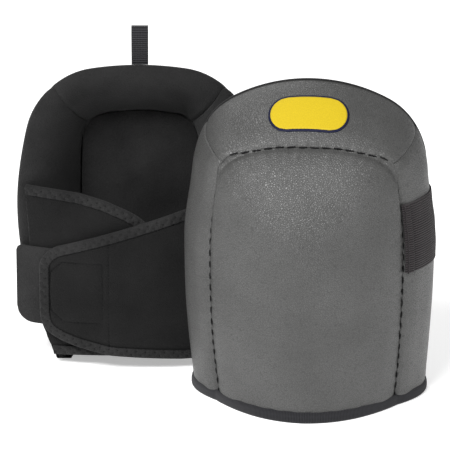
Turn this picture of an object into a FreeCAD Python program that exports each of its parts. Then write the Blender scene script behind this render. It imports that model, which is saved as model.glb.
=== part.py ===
import FreeCAD, Part
import Sketcher
import math
import os
from FreeCAD import Vector, Placement, Rotation

# A pair of strap-on knee pads, in millimetres. Each pad stands on its lower edge:
# x runs across the knee, z up, and the rim that meets the leg lies in the plane y = 0,
# so the padded front bulges towards -y and the straps close the leg side at +y.

os.makedirs("parts", exist_ok=True)
doc = FreeCAD.newDocument("knee_pads")
sheet = doc.addObject("Spreadsheet::Sheet", "sizes")
XZ = Rotation(Vector(1, 0, 0), 90)

# ---------------------------------------------------------------- driving sizes
DRIVING = [
    ("rim_low", 61, "rim half width at the floor"),
    ("rim_wide", 86.5, "rim half width at its widest"),
    ("rim_crown", 226, "height of the rim"),
    ("rim_corner", 46, "corner radius of the rim"),
    ("rim_arc", 150, "radius of the rim over the top"),
    ("mid_low", 79, "half width half way down the wings, at the floor"),
    ("mid_wide", 88.5, "half width half way down the wings"),
    ("mid_crown", 226, "height half way down the wings"),
    ("mid_corner", 42, "corner radius half way down the wings"),
    ("mid_arc", 175, "top radius half way down the wings"),
    ("seam_low", 64, "half width of the front panel at the floor"),
    ("seam_wide", 69, "half width of the front panel"),
    ("seam_crown", 198, "height of the front panel"),
    ("seam_corner", 20, "corner radius of the front panel"),
    ("seam_arc", 260, "top radius of the front panel"),
    ("wide_height", 118, "height at which every outline is widest"),
    ("wing_depth", 56, "rim to front seam"),
    ("bulge_depth", 36, "front seam to the foremost point"),
    ("cup_low", 42, "half width of the cup floor at the bottom"),
    ("cup_wide", 43.5, "half width of the cup floor"),
    ("cup_crown", 178, "height of the cup floor"),
    ("cup_corner", 22, "corner radius of the cup floor"),
    ("cup_arc", 120, "top radius of the cup floor"),
    ("cup_depth", 46, "rim to the cup floor"),
    ("mouth_low", 50, "half width of the cup mouth at the bottom"),
    ("mouth_wide", 77.5, "half width of the cup mouth"),
    ("mouth_crown", 208, "height of the cup mouth"),
    ("mouth_corner", 38, "corner radius of the cup mouth"),
    ("mouth_arc", 138, "top radius of the cup mouth"),
    ("cover_thick", 1.6, "leatherette"),
    ("liner_thick", 2, "knit liner"),
    ("ply_gap", 0.4, "clearance between plies"),
    ("seam_gap", 0.3, "clearance between neighbouring panels"),
    ("tape_thick", 1, "grosgrain binding tape"),
    ("tape_rise", 7, "height of the tape on the bottom edge"),
    ("top_split", 65, "half width of the top panel"),
    ("split_height", 150, "lower edge of the top panel"),
    ("band_low", 106, "elastic band, lower edge"),
    ("band_width", 50, "elastic band, stock width"),
    ("band_thick", 1.4, "elastic band"),
    ("hem_width", 7, "folded hem of the elastic band"),
    ("strap_radius", 187, "bend of the closed straps"),
    ("strap_thick", 4, "one strap"),
    ("strap_root", 83, "half distance between the strap roots"),
    ("hook_thick", 1.6, "hook tab"),
    ("edge_width", 6, "bound edge of a strap"),
    ("long_reach", 72, "end of the long strap past the middle"),
    ("short_reach", 9, "end of the short strap past the middle"),
    ("hinge_offset", 14, "fold line of the long strap, from the middle"),
    ("flex_line", 70, "flex line of the short strap, from the middle"),
    ("tab_low", 31, "hook tab, lower edge"),
    ("tab_width", 56, "hook tab, width"),
    ("tab_reach", 90, "end of the hook tab past the middle"),
    ("tab_start", 23, "sewn end of the hook tab past the middle"),
    ("badge_width", 56, "printed badge"),
    ("badge_rise", 26, "printed badge"),
    ("badge_height", 214, "height of the badge centre"),
    ("loop_width", 12, "hang loop webbing"),
    ("loop_rise", 27, "height of the hang loop"),
    ("loop_thick", 1.5, "hang loop webbing"),
    ("pair_shift", 124, "middle of the front pad to middle of the rear pad"),
    ("pair_gap", 50, "rim to rim, between the standing pads"),
    ("pair_turn", 4, "turn of the front pad, in degrees"),
]

row = 0


def cell(name, content, note=""):
    """Put one value or formula on the sheet under its own name."""
    global row
    row = row + 1
    sheet.set("A%d" % row, name)
    sheet.set("B%d" % row, str(content))
    sheet.setAlias("B%d" % row, name)
    sheet.set("C%d" % row, note)


for name, value, note in DRIVING:
    cell(name, value, note)

# Stations of the outer shell. The wings follow a parabola through rim, middle and seam;
# the bulge shrinks from the seam outline towards the foremost point.
WING_AT = [0, 0.25, 0.5, 0.75, 1]
BULGE_AT = [(0, 1, 1), (0.3, 0.83, 0.95), (0.58, 0.64, 0.88), (0.83, 0.41, 0.79), (1, 0.18, 0.68)]
for number, at in enumerate(WING_AT):
    first = (1 - at) * (1 - 2 * at)
    second = 4 * at * (1 - at)
    third = at * (2 * at - 1)
    for side in ("low", "wide", "crown", "corner", "arc"):
        formula = "=%g*rim_%s+%g*mid_%s+%g*seam_%s" % (first, side, second, side, third, side)
        cell("wing%s_%s" % ("abcde"[number], side), formula)
    cell("wing%s_place" % "abcde"[number], "=-%g*wing_depth" % at)
for number, (at, shrink, lower) in enumerate(BULGE_AT):
    letter = "abcde"[number]
    cell("bulge%s_low" % letter, "=%g*seam_low" % shrink)
    cell("bulge%s_wide" % letter, "=%g*seam_wide" % shrink)
    cell("bulge%s_crown" % letter, "=%g*seam_crown" % lower)
    corner = 0.25 + 0.75 * shrink
    cell("bulge%s_corner" % letter, "=min(%g*seam_corner; 0.8*bulge%s_wide)" % (corner, letter))
    cell("bulge%s_arc" % letter, "=%g*seam_arc" % (0.2 + 0.8 * shrink))
    cell("bulge%s_place" % letter, "=-wing_depth-%g*bulge_depth" % at)
cell("mouth_place", 3)
cell("cup_place", "=-cup_depth")

# How far every ply lies inside (or, if negative, outside) the outer face of a pad,
# and inside the face of the space for the knee.
INSETS = [
    ("outer", "0"),
    ("outer_in", "cover_thick"),
    ("core", "cover_thick+ply_gap"),
    ("tape_in", "-ply_gap"),
    ("tape_out", "-ply_gap-tape_thick"),
    ("band_out", "-ply_gap-band_thick"),
    ("hem_in", "-2*ply_gap-band_thick"),
    ("hem_out", "-2*ply_gap-2*band_thick"),
    ("hollow", "0"),
    ("hollow_liner", "-liner_thick"),
    ("hollow_core", "-liner_thick-ply_gap"),
    ("hollow_tape", "ply_gap"),
    ("hollow_tape_in", "ply_gap+tape_thick"),
]
for name, formula in INSETS:
    cell("inset_" + name, "=" + formula)

# Strap outlines seen from the leg side: x formula, height, corner radius.
PROFILES = {
    "long_profile": [
        ("-strap_root+20", 8, 8), ("10", 10, 60), ("long_reach-18", 19, 24),
        ("long_reach", 31, 12), ("long_reach", 88, 12), ("long_reach-12", 95, 20),
        ("-strap_root-30", 146, 9), ("-strap_root-30", 128, 9), ("-strap_root+4", 48, 30),
    ],
    "short_profile": [
        ("strap_root-20", 8, 8), ("strap_root-4", 48, 30), ("strap_root+30", 128, 9),
        ("strap_root+30", 135, 2.2), ("45", 134, 40),
        ("-short_reach", 113, 14), ("-short_reach", 26, 22),
    ],
    "tab_profile": [
        ("tab_start", 31, 2), ("tab_reach", 31, 12), ("tab_reach", 87, 5), ("tab_start", 87, 2),
    ],
}
for name, corners in PROFILES.items():
    for k, corner in enumerate(corners):
        cell(name + "_x" + "abcdefghij"[k], "=" + corner[0])
        cell(name + "_z" + "abcdefghij"[k], corner[1])

# The closed straps bend round one upright axis; the long one is outermost.
cell("chord_rise", "=strap_thick+hook_thick+2*ply_gap")
cell("chord_angle", "=atan(chord_rise/(2*strap_root))")
cell("chord_half", "=sqrt(strap_root^2+(chord_rise/2)^2)")
cell("axis_drop", "=sqrt(strap_radius^2-chord_half^2)")
cell("axis_across", "=axis_drop*sin(chord_angle)")
cell("axis_back", "=3+chord_rise/2-axis_drop*cos(chord_angle)")
doc.recompute()


def num(name):
    """The present value of a named cell."""
    return float(sheet.get(name))


def bind(sketch, index, expression):
    sketch.setExpression("Constraints[%d]" % index, expression)


def spot_of(name, k, count):
    """Corner k of a named profile as a point."""
    letter = "abcdefghij"[k % count]
    return Vector(num(name + "_x" + letter), num(name + "_z" + letter), 0)


def inner_profile(name, new_name, inset):
    """The same profile drawn a fixed distance inside itself."""
    corners = PROFILES[name]
    count = len(corners)
    shrunk = []
    for k in range(count):
        here = spot_of(name, k, count)
        back = spot_of(name, k - 1, count) - here
        ahead = spot_of(name, k + 1, count) - here
        back.normalize()
        ahead.normalize()
        middle = back + ahead
        middle.normalize()
        middle.multiply(1 / math.sin(back.getAngle(ahead) / 2))
        letter = "abcdefghij"[k]
        cell(new_name + "_x" + letter, "=%s_x%s+%.5f*(%s)" % (name, letter, middle.x, inset))
        cell(new_name + "_z" + letter, "=%s_z%s+%.5f*(%s)" % (name, letter, middle.y, inset))
        shrunk.append(("", 0, max(2.0, corners[k][2] - 6.0)))
    PROFILES[new_name] = shrunk


inner_profile("long_profile", "long_edge_line", "edge_width")
inner_profile("long_profile", "long_field_line", "edge_width+seam_gap")
inner_profile("short_profile", "short_edge_line", "edge_width")
inner_profile("short_profile", "short_field_line", "edge_width+seam_gap")
doc.recompute()


# ---------------------------------------------------------------- outlines
def pick_corner(low_centre, low_radius, top_centre, top_radius, radius):
    """Centre of the corner circle that touches the side circle and the top circle."""
    first = low_radius - radius
    second = top_radius - radius
    across = top_centre[0] - low_centre[0]
    up = top_centre[1] - low_centre[1]
    apart = math.hypot(across, up)
    along = (first ** 2 - second ** 2 + apart ** 2) / (2 * apart)
    off = math.sqrt(max(0.0, first ** 2 - along ** 2))
    foot_x = low_centre[0] + along * across / apart
    foot_z = low_centre[1] + along * up / apart
    one = (foot_x - off * up / apart, foot_z + off * across / apart)
    two = (foot_x + off * up / apart, foot_z - off * across / apart)
    return max(one, two, key=lambda spot: spot[0] + spot[1])


def arc_of(centre, radius, start, end):
    circle = Part.Circle(Vector(centre[0], centre[1], 0), Vector(0, 0, 1), radius)
    return Part.ArcOfCircle(circle, start, end)


def outline(label, station, inset_name, place_factor):
    """One arch-shaped outline, shrunk by the named inset and set at its station."""
    inset = num(inset_name)
    wide = num(station + "_wide")
    low = num(station + "_low")
    height = num("wide_height")
    side = (height ** 2 + (wide - low) ** 2) / (2 * (wide - low))
    arc = num(station + "_arc")
    base = -6.0
    low_centre = (wide - side, height)
    top_centre = (0.0, num(station + "_crown") - arc)
    side_radius = side - inset
    top_radius = arc - inset
    corner = num(station + "_corner") - inset
    centre = pick_corner(low_centre, side_radius, top_centre, top_radius, corner)
    foot = -math.asin((height - base) / side_radius)
    lean = math.atan2(centre[1] - low_centre[1], centre[0] - low_centre[0])
    rise = math.atan2(centre[1] - top_centre[1], centre[0] - top_centre[0])
    reach = low_centre[0] + side_radius * math.cos(foot)
    sketch = doc.addObject("Sketcher::SketchObject", label)
    sketch.Placement = Placement(Vector(0, 0, 0), XZ)
    place = "sizes.%s_place + %g * sizes.%s" % (station, place_factor, inset_name)
    sketch.setExpression("Placement.Base.y", place)
    sketch.addGeometry([
        Part.LineSegment(Vector(-reach, base, 0), Vector(reach, base, 0)),
        arc_of(low_centre, side_radius, foot, lean),
        arc_of(centre, corner, lean, rise),
        arc_of(top_centre, top_radius, rise, math.pi - rise),
        arc_of((-centre[0], centre[1]), corner, math.pi - rise, math.pi - lean),
        arc_of((-low_centre[0], low_centre[1]), side_radius, math.pi - lean, math.pi - foot),
    ])
    limit = Sketcher.Constraint
    sketch.addConstraint([
        limit("Radius", 1, side_radius),
        limit("Radius", 2, corner),
        limit("Radius", 3, top_radius),
        limit("DistanceX", -1, 1, 1, 3, low_centre[0]),
        limit("DistanceX", -1, 1, 5, 3, -low_centre[0]),
        limit("DistanceY", -1, 1, 1, 3, height),
        limit("DistanceY", -1, 1, 5, 3, height),
        limit("DistanceY", -1, 1, 3, 3, top_centre[1]),
        limit("DistanceY", -1, 1, 0, 1, base),
        limit("Coincident", 0, 2, 1, 1),
        limit("Coincident", 5, 2, 0, 1),
        limit("Horizontal", 0),
        limit("Tangent", 1, 2, 2, 1),
        limit("Tangent", 2, 2, 3, 1),
        limit("Tangent", 3, 2, 4, 1),
        limit("Tangent", 4, 2, 5, 1),
        limit("Equal", 1, 5),
        limit("Equal", 2, 4),
        limit("PointOnObject", 3, 3, -2),
    ])
    lean_in = "(sizes.%s_wide - sizes.%s_low)" % (station, station)
    big = "((sizes.wide_height ^ 2 + %s ^ 2) / (2 * %s))" % (lean_in, lean_in)
    bind(sketch, 0, "%s - sizes.%s" % (big, inset_name))
    bind(sketch, 1, "sizes.%s_corner - sizes.%s" % (station, inset_name))
    bind(sketch, 2, "sizes.%s_arc - sizes.%s" % (station, inset_name))
    bind(sketch, 3, "sizes.%s_wide - %s" % (station, big))
    bind(sketch, 4, "%s - sizes.%s_wide" % (big, station))
    bind(sketch, 5, "sizes.wide_height")
    bind(sketch, 6, "sizes.wide_height")
    bind(sketch, 7, "sizes.%s_crown - sizes.%s_arc" % (station, station))
    return sketch


def loft(label, sections):
    solid = doc.addObject("Part::Loft", label)
    solid.Sections = sections
    solid.Solid = True
    solid.Ruled = False
    return solid


def cut(label, base, tool):
    result = doc.addObject("Part::Cut", label)
    result.Base = base
    result.Tool = tool
    return result


def common(label, first, second):
    result = doc.addObject("Part::Common", label)
    result.Base = first
    result.Tool = second
    return result


def fuse(label, first, second):
    result = doc.addObject("Part::Fuse", label)
    result.Base = first
    result.Tool = second
    return result


def block(label, low, high):
    """A box between two corners, each coordinate a number or a formula in sheet names."""
    box = doc.addObject("Part::Box", label)
    for axis, size, start, end in zip("xyz", ("Length", "Width", "Height"), low, high):
        box.setExpression("Placement.Base." + axis, str(start))
        box.setExpression(size, "(%s) - (%s)" % (end, start))
    return box


def shell(label):
    """The closed outer form of a pad, shrunk by an inset."""
    name = "inset_" + label
    wings = [outline("%s_wing_%d" % (label, k), "wing" + "abcde"[k], name, 0) for k in range(5)]
    fronts = [outline("%s_bulge_%d" % (label, k), "bulge" + "abcde"[k], name, 0.25 * k) for k in range(5)]
    return fuse(label, loft(label + "_wings", wings), loft(label + "_front", fronts))


def cup(label):
    """The space for the knee, grown by a negative inset."""
    name = "inset_" + label
    mouth = outline(label + "_mouth", "mouth", name, 0)
    floor = outline(label + "_floor", "cup", name, 1)
    return loft(label, [mouth, floor])


outer = shell("outer")
outer_in = shell("outer_in")
core = shell("core")
tape_in = shell("tape_in")
tape_out = shell("tape_out")
band_out = shell("band_out")
hem_in = shell("hem_in")
hem_out = shell("hem_out")
hollow = cup("hollow")
hollow_liner = cup("hollow_liner")
hollow_core = cup("hollow_core")
hollow_tape = cup("hollow_tape")
hollow_tape_in = cup("hollow_tape_in")

# ---------------------------------------------------------------- zones of a pad
FLOOR = "sizes.tape_thick + sizes.ply_gap"
HALF = "sizes.seam_gap / 2"
SEAM = "-sizes.wing_depth"
front_zone = block("front_zone", (-150, -160, FLOOR), (150, SEAM + " - " + HALF, 280))
top_zone = block("top_zone",
                 ("-sizes.top_split", SEAM + " + " + HALF, "sizes.split_height"),
                 ("sizes.top_split", 0, 280))
top_clear = block("top_clear",
                  ("-sizes.top_split - sizes.seam_gap", -170, "sizes.split_height - sizes.seam_gap"),
                  ("sizes.top_split + sizes.seam_gap", 10, 290))
right_half = block("right_half", ("sizes.cup_wide + 1.8", SEAM + " + " + HALF, FLOOR), (150, 0, 280))
left_half = block("left_half", (-150, SEAM + " + " + HALF, FLOOR), ("-sizes.cup_wide - 1.8", 0, 280))
right_zone = cut("right_zone", right_half, top_clear)
left_zone = cut("left_zone", left_half, top_clear)
cushion_zone = block("cushion_zone",
                     ("-sizes.cup_wide - 1.5", SEAM + " + " + HALF, FLOOR),
                     ("sizes.cup_wide + 1.5", -30, "sizes.split_height - sizes.seam_gap"))
rim_trim = block("rim_trim", (-160, -1.2, -20), (160, 20, 290))
behind = block("behind", (-160, 0, -20), (160, 30, 290))

skin = cut("skin", outer, outer_in)
foam_all = cut("foam_all", core, hollow_core)
foam = cut("foam", foam_all, rim_trim)
liner_all = cut("liner_all", hollow_liner, hollow)
liner = cut("liner", liner_all, behind)
cup_zone = block("cup_zone", ("-sizes.cup_wide + 0.4", -100, FLOOR),
                 ("sizes.cup_wide - 0.4", "-sizes.cup_depth + 1", "sizes.cup_crown - 9"))
brow_zone = block("brow_zone", (-50, -100, "sizes.cup_crown - 8.7"), (50, 10, 280))
brow_clear = block("brow_clear", (-50.3, -110, "sizes.cup_crown - 9"), (50.3, 20, 290))
lining_right = block("lining_right", ("sizes.cup_wide - 0.1", -100, FLOOR), (150, 10, 280))
lining_left = block("lining_left", (-150, -100, FLOOR), ("-sizes.cup_wide + 0.1", 10, 280))
lining_right_zone = cut("lining_right_zone", lining_right, brow_clear)
lining_left_zone = cut("lining_left_zone", lining_left, brow_clear)

# The tape folded round the whole bottom edge.
tape_slab = block("tape_slab", (-150, -160, 0), (150, 0, "sizes.tape_rise"))
tape_core = block("tape_core", (-155, -165, "sizes.tape_thick"), (155, 5, 40))
tape_outer = cut("tape_outer", tape_out, hollow_tape_in)
tape_inner = cut("tape_inner", tape_in, hollow_tape)
tape_solid = common("tape_solid", tape_outer, tape_slab)
tape_space = common("tape_space", tape_inner, tape_core)

band_skin = cut("band_skin", band_out, tape_in)
band_zone = block("band_zone", (40, SEAM + " + " + HALF, "sizes.band_low"),
                  (150, -1, "sizes.band_low + sizes.band_width"))
hem_skin = cut("hem_skin", hem_out, hem_in)
hem_zone = block("hem_zone", (40, SEAM + " + " + HALF, "sizes.band_low"),
                 (150, SEAM + " + sizes.hem_width", "sizes.band_low + sizes.band_width"))

# ---------------------------------------------------------------- strap surfaces
AXIS_X = num("axis_across")
AXIS_Y = num("axis_back")


def strip(label, radius, thick, start, end):
    """An upright curved wall between two x positions, square ended."""
    inner = doc.addObject("Part::Cylinder", label + "_inner")
    outside = doc.addObject("Part::Cylinder", label + "_outside")
    for body, sign in ((inner, "-"), (outside, "+")):
        body.Height = 320
        body.setExpression("Radius", "%s %s (%s) / 2" % (radius, sign, thick))
        body.setExpression("Placement.Base.x", "sizes.axis_across")
        body.setExpression("Placement.Base.y", "sizes.axis_back")
        body.Placement.Base.z = -30
    wall = cut(label + "_wall", outside, inner)
    window = block(label + "_window", (start, 0.5, -40), (end, 80, 300))
    return common(label, wall, window)


LONG_R = "sizes.strap_radius"
TAB_R = "(sizes.strap_radius - (sizes.strap_thick + sizes.hook_thick) / 2 - sizes.ply_gap)"
SHORT_R = "(sizes.strap_radius - sizes.chord_rise)"
FOLD = "-sizes.hinge_offset"
long_root_strip = strip("long_root_strip", LONG_R, "sizes.strap_thick", "-sizes.strap_root",
                        FOLD + " - sizes.seam_gap")
long_end_strip = strip("long_end_strip", LONG_R, "sizes.strap_thick", FOLD + " + sizes.seam_gap", 120)
short_root_strip = strip("short_root_strip", SHORT_R, "sizes.strap_thick",
                         "sizes.flex_line + 2 * sizes.seam_gap", "sizes.strap_root - 1")
short_flex_strip = strip("short_flex_strip", SHORT_R, "sizes.strap_thick", -60, "sizes.flex_line")
tab_sewn_strip = strip("tab_sewn_strip", TAB_R, "sizes.hook_thick", "sizes.tab_start",
                       "sizes.long_reach + 0.1")
tab_free_strip = strip("tab_free_strip", TAB_R, "sizes.hook_thick", "sizes.long_reach + 0.7", 130)


def polygon(label):
    """A closed profile with every corner rounded."""
    corners = PROFILES[label]
    count = len(corners)
    spots = []
    for k in range(count):
        here = spot_of(label, k, count)
        spots.append((here.x, here.y, corners[k][2]))
    ends = []
    for k in range(count):
        here = Vector(spots[k][0], spots[k][1], 0)
        back = Vector(spots[k - 1][0], spots[k - 1][1], 0) - here
        ahead = Vector(spots[(k + 1) % count][0], spots[(k + 1) % count][1], 0) - here
        back.normalize()
        ahead.normalize()
        half = back.getAngle(ahead) / 2
        run = spots[k][2] / math.tan(half)
        middle = back + ahead
        middle.normalize()
        centre = here + middle * (spots[k][2] / math.sin(half))
        ends.append((here + back * run, here + ahead * run, centre))
    sketch = doc.addObject("Sketcher::SketchObject", label)
    sketch.Placement = Placement(Vector(0, 0, 0), XZ)
    for k in range(count):
        sketch.addGeometry(Part.LineSegment(ends[k][1], ends[(k + 1) % count][0]))
    for k in range(count):
        centre = ends[k][2]
        first = ends[k][0] - centre
        last = ends[k][1] - centre
        a_first = math.atan2(first.y, first.x)
        a_last = math.atan2(last.y, last.x)
        if (a_last - a_first) % (2 * math.pi) > math.pi:
            a_first, a_last = a_last, a_first
        sketch.addGeometry(arc_of((centre.x, centre.y), spots[k][2], a_first, a_last))
    limit = Sketcher.Constraint
    for k in range(count):
        corner = sketch.addGeometry(Part.Point(Vector(spots[k][0], spots[k][1], 0)), True)
        arc = sketch.Geometry[count + k]
        starts_first = arc.StartPoint.distanceToPoint(ends[k][0]) < 1e-6
        one, two = (1, 2) if starts_first else (2, 1)
        sketch.addConstraint(limit("Tangent", (k - 1) % count, 2, count + k, one))
        sketch.addConstraint(limit("Tangent", k, 1, count + k, two))
        sketch.addConstraint(limit("Radius", count + k, spots[k][2]))
        sketch.addConstraint(limit("PointOnObject", corner, 1, (k - 1) % count))
        sketch.addConstraint(limit("PointOnObject", corner, 1, k))
        across = sketch.addConstraint(limit("DistanceX", -1, 1, corner, 1, spots[k][0]))
        up = sketch.addConstraint(limit("DistanceY", -1, 1, corner, 1, spots[k][1]))
        bind(sketch, across, "sizes.%s_x%s" % (label, "abcdefghij"[k]))
        bind(sketch, up, "sizes.%s_z%s" % (label, "abcdefghij"[k]))
    return sketch


def prism(label, profile):
    """The profile swept straight through the thickness of the straps."""
    solid = doc.addObject("Part::Extrusion", label)
    solid.Base = profile
    solid.DirMode = "Custom"
    solid.Dir = Vector(0, 1, 0)
    solid.LengthFwd = 110
    solid.LengthRev = 10
    solid.Solid = True
    return solid


long_profile = polygon("long_profile")
short_profile = polygon("short_profile")
tab_profile = polygon("tab_profile")
long_prism = prism("long_prism", long_profile)
short_prism = prism("short_prism", short_profile)
tab_prism = prism("tab_prism", tab_profile)
long_edge = prism("long_edge", polygon("long_edge_line"))
long_field = prism("long_field", polygon("long_field_line"))
short_edge = prism("short_edge", polygon("short_edge_line"))
short_field = prism("short_field", polygon("short_field_line"))
long_rim = cut("long_rim", long_prism, long_edge)
short_rim = cut("short_rim", short_prism, short_edge)
long_root_rim = common("long_root_rim", long_root_strip, long_rim)
low_half = block("low_half", (-160, -20, -50), (160, 120, 70))

# ---------------------------------------------------------------- badge and hang loop
# The badge lies on the sloping top panel, so it is cut by a bar that runs straight down.
badge_place = "-sizes.wing_depth * 0.65"
badge_bar = block("badge_bar", ("(sizes.badge_rise - sizes.badge_width) / 2",
                                badge_place + " - sizes.badge_rise / 2", "sizes.badge_height - 40"),
                  ("(sizes.badge_width - sizes.badge_rise) / 2",
                   badge_place + " + sizes.badge_rise / 2", "sizes.badge_height + 40"))
badge_ends = []
for side in ("-", ""):
    end = doc.addObject("Part::Cylinder", "badge_end")
    end.Height = 80
    end.setExpression("Radius", "sizes.badge_rise / 2")
    end.setExpression("Placement.Base.x", side + "(sizes.badge_width - sizes.badge_rise) / 2")
    end.setExpression("Placement.Base.y", badge_place)
    end.setExpression("Placement.Base.z", "sizes.badge_height - 40")
    badge_ends.append(end)
badge_bar_one = fuse("badge_bar_one", badge_bar, badge_ends[0])
badge_shape = fuse("badge_shape", badge_bar_one, badge_ends[1])
badge_skin = cut("badge_skin", band_out, tape_in)

loop_sketch = doc.addObject("Sketcher::SketchObject", "loop_profile")
loop_sketch.Placement = Placement(Vector(0, 0, 0), Rotation(Vector(1, 1, 1), 120))
rise = num("loop_rise")
thick = num("loop_thick")
EYE = 3.2
for sign in (1, -1):
    loop_sketch.addGeometry(Part.LineSegment(Vector(sign * (EYE + thick), rise - EYE - thick, 0),
                                             Vector(sign * 1.7, 0, 0)))
    loop_sketch.addGeometry(Part.LineSegment(Vector(sign * EYE, rise - EYE - thick, 0),
                                             Vector(sign * 0.3, 4, 0)))
loop_sketch.addGeometry(arc_of((0, rise - EYE - thick), EYE + thick, 0, math.pi))
loop_sketch.addGeometry(arc_of((0, rise - EYE - thick), EYE, 0, math.pi))
loop_sketch.addGeometry(Part.LineSegment(Vector(1.7, 0, 0), Vector(-1.7, 0, 0)))
loop_sketch.addGeometry(Part.LineSegment(Vector(0.3, 4, 0), Vector(-0.3, 4, 0)))
limit = Sketcher.Constraint
loop_sketch.addConstraint([
    limit("Radius", 4, EYE + thick),
    limit("Radius", 5, EYE),
    limit("DistanceY", -1, 1, 4, 3, rise - EYE - thick),
    limit("DistanceX", -1, 1, 4, 3, 0),
    limit("Coincident", 4, 3, 5, 3),
    limit("Coincident", 0, 1, 4, 1),
    limit("Coincident", 2, 1, 4, 2),
    limit("Coincident", 1, 1, 5, 1),
    limit("Coincident", 3, 1, 5, 2),
    limit("Coincident", 0, 2, 6, 1),
    limit("Coincident", 2, 2, 6, 2),
    limit("Coincident", 1, 2, 7, 1),
    limit("Coincident", 3, 2, 7, 2),
    limit("Horizontal", 6),
    limit("Horizontal", 7),
    limit("DistanceY", -1, 1, 6, 1, 0),
    limit("DistanceY", -1, 1, 7, 1, 4),
    limit("DistanceX", -1, 1, 6, 1, 1.7),
    limit("DistanceX", 6, 2, -1, 1, 1.7),
    limit("DistanceX", -1, 1, 7, 1, 0.3),
    limit("DistanceX", 7, 2, -1, 1, 0.3),
    limit("DistanceY", 4, 3, 4, 1, 0),
    limit("DistanceY", 4, 3, 4, 2, 0),
    limit("DistanceY", 5, 3, 5, 1, 0),
    limit("DistanceY", 5, 3, 5, 2, 0),
])
bind(loop_sketch, 0, "%g + sizes.loop_thick" % EYE)
bind(loop_sketch, 2, "sizes.loop_rise - %g - sizes.loop_thick" % EYE)


# ---------------------------------------------------------------- the pieces of each pad
RECIPES = [
    ("center_cover", "common", skin, front_zone),
    ("top_cover", "common", skin, top_zone),
    ("right_wing_cover", "common", skin, right_zone),
    ("left_wing_cover", "common", skin, left_zone),
    ("knee_foam", "common", foam, front_zone),
    ("top_foam", "common", foam, top_zone),
    ("right_wing_foam", "common", foam, right_zone),
    ("left_wing_foam", "common", foam, left_zone),
    ("cup_cushion", "common", foam, cushion_zone),
    ("cup_liner", "common", liner, cup_zone),
    ("top_liner", "common", liner, brow_zone),
    ("right_wing_liner", "common", liner, lining_right_zone),
    ("left_wing_liner", "common", liner, lining_left_zone),
    ("bottom_binding", "cut", tape_solid, tape_space),
    ("elastic_band", "common", band_skin, band_zone),
    ("band_hem", "common", hem_skin, hem_zone),
    ("badge", "common", badge_skin, badge_shape),
    ("short_strap_root", "common", short_root_strip, short_prism),
    ("short_strap", "common", short_flex_strip, short_field),
    ("short_strap_binding", "common", short_flex_strip, short_rim),
    ("long_strap_root", "common", long_root_strip, long_field),
    ("long_strap_root_binding_top", "cut", long_root_rim, low_half),
    ("long_strap_root_binding_foot", "common", long_root_rim, low_half),
    ("long_strap", "common", long_end_strip, long_field),
    ("long_strap_binding", "common", long_end_strip, long_rim),
    ("hook_tab_root", "common", tab_sewn_strip, tab_prism),
    ("hook_tab", "common", tab_free_strip, tab_prism),
]
loop_band = prism("loop_band", loop_sketch)
loop_band.Dir = Vector(1, 0, 0)
loop_band.setExpression("LengthFwd", "sizes.loop_width / 2")
loop_band.setExpression("LengthRev", "sizes.loop_width / 2")

nodes = []
for pad in ("front", "rear"):
    for name, how, first, second in RECIPES:
        label = pad + "_" + name
        if how == "cut":
            piece = cut(label, first, second)
        else:
            piece = common(label, first, second)
        nodes.append((piece, pad))
loop = doc.addObject("Part::Compound", "rear_hang_loop")
loop.Links = [loop_band]
nodes.append((loop, "rear"))

for item in doc.Objects:
    doc.recompute([item])


# ---------------------------------------------------------------- standing the pair up
def pad_place(pad):
    """Where a pad stands: the rear one faces the front one, rim to rim."""
    if pad == "rear":
        return Placement(Vector(0, 0, 0), Rotation(Vector(0, 0, 1), 180))
    spot = Vector(num("pair_shift"), -num("pair_gap"), 0)
    return Placement(spot, Rotation(Vector(0, 0, 1), -num("pair_turn")))


def lift(piece, pad):
    """The loop is drawn at the floor and sits on the top seam; all else is drawn in place."""
    if piece is loop:
        return Placement(Vector(0, -8, num("wingb_crown") + 1.0), Rotation())
    return Placement()


low = Vector(1e9, 1e9, 1e9)
high = Vector(-1e9, -1e9, -1e9)
for piece, pad in nodes:
    piece.Placement = pad_place(pad).multiply(lift(piece, pad))
    box = piece.Shape.optimalBoundingBox(False)
    low = Vector(min(low.x, box.XMin), min(low.y, box.YMin), min(low.z, box.ZMin))
    high = Vector(max(high.x, box.XMax), max(high.y, box.YMax), max(high.z, box.ZMax))
centre = Placement(Vector(-(low.x + high.x) / 2, -(low.y + high.y) / 2, -low.z), Rotation())
for piece, pad in nodes:
    piece.Placement = centre.multiply(piece.Placement)

for item in doc.Objects:
    if "Invalid" in item.State or "Error" in item.State:
        raise RuntimeError("%s could not be worked out: %s" % (item.Label, item.State))
for piece, pad in nodes:
    shape = piece.Shape
    if shape.isNull() or not shape.isValid() or shape.Volume < 1:
        raise RuntimeError("%s is not a good solid" % piece.Label)
    if len(shape.Solids) != 1:
        raise RuntimeError("%s came out in %d lumps" % (piece.Label, len(shape.Solids)))
    shape.exportStep(os.path.join("parts", piece.Label + ".step"))
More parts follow.
